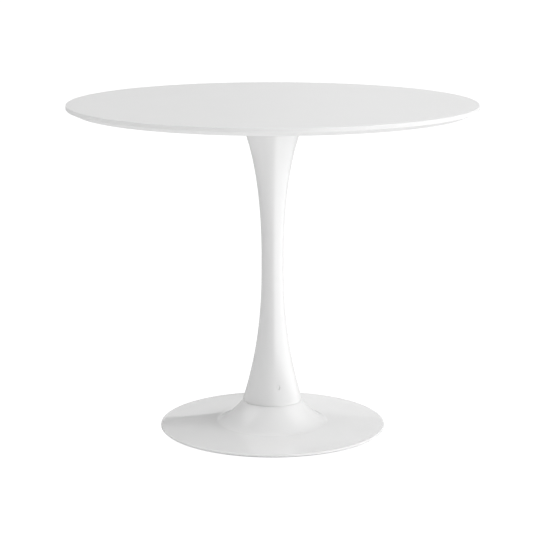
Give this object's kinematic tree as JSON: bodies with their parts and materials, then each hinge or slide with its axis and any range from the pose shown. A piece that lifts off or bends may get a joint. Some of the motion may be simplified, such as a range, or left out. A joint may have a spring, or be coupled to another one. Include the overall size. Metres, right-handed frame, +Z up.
{
  "type": "round pedestal table",
  "caption": "Round table: a lacquered board with a bevelled edge on a slim trumpet column and a flat trumpet foot, drawn together by a rod through the middle.",
  "frame": {"origin": "on the floor, at the centre of the ring that the table stands on", "axes": "+Z up along the column; -Y is the front, where the cap over the grub screw is; +X is to the right seen from the front"},
  "size_m": [0.8999, 0.9, 0.73],
  "materials": {
    "board_lacquer": "MDF board under satin white lacquer",
    "white_coat": "steel under glossy white powder coat",
    "white_plastic": "glossy white plastic",
    "seal_rubber": "matt light grey rubber",
    "ring_rubber": "matt grey rubber",
    "grey_plastic": "matt grey plastic",
    "zinc": "zinc-plated steel",
    "bright_steel": "plain hardened steel",
    "plate_zinc": "galvanised steel sheet with a faint spangle",
    "cast_iron": "black primer on cast iron"
  },
  "bodies": {
    "root": {"tabletop": "board_lacquer", "threaded_inserts": "zinc", "top_plate": "white_coat", "top_plate_screws": "zinc", "top_plate_washers": "zinc", "rod_boss": "white_coat", "head_dowels": "bright_steel", "stem_head_ring": "white_coat", "stem_shell": "white_coat", "stem_foot_ring": "white_coat", "lock_ring": "white_coat", "lock_screw": "bright_steel", "lock_screw_cap": "white_plastic", "tie_rod": "zinc", "seam_gasket": "seal_rubber", "base_shell": "white_coat", "base_hub": "cast_iron", "base_weight": "cast_iron", "bottom_plate": "plate_zinc", "hub_screws": "zinc", "weight_screws": "zinc", "lower_washer": "zinc", "lower_lock_washer": "bright_steel", "lower_nut": "zinc", "nut_plug": "grey_plastic", "floor_ring": "ring_rubber"}
  },
  "joints": []
}
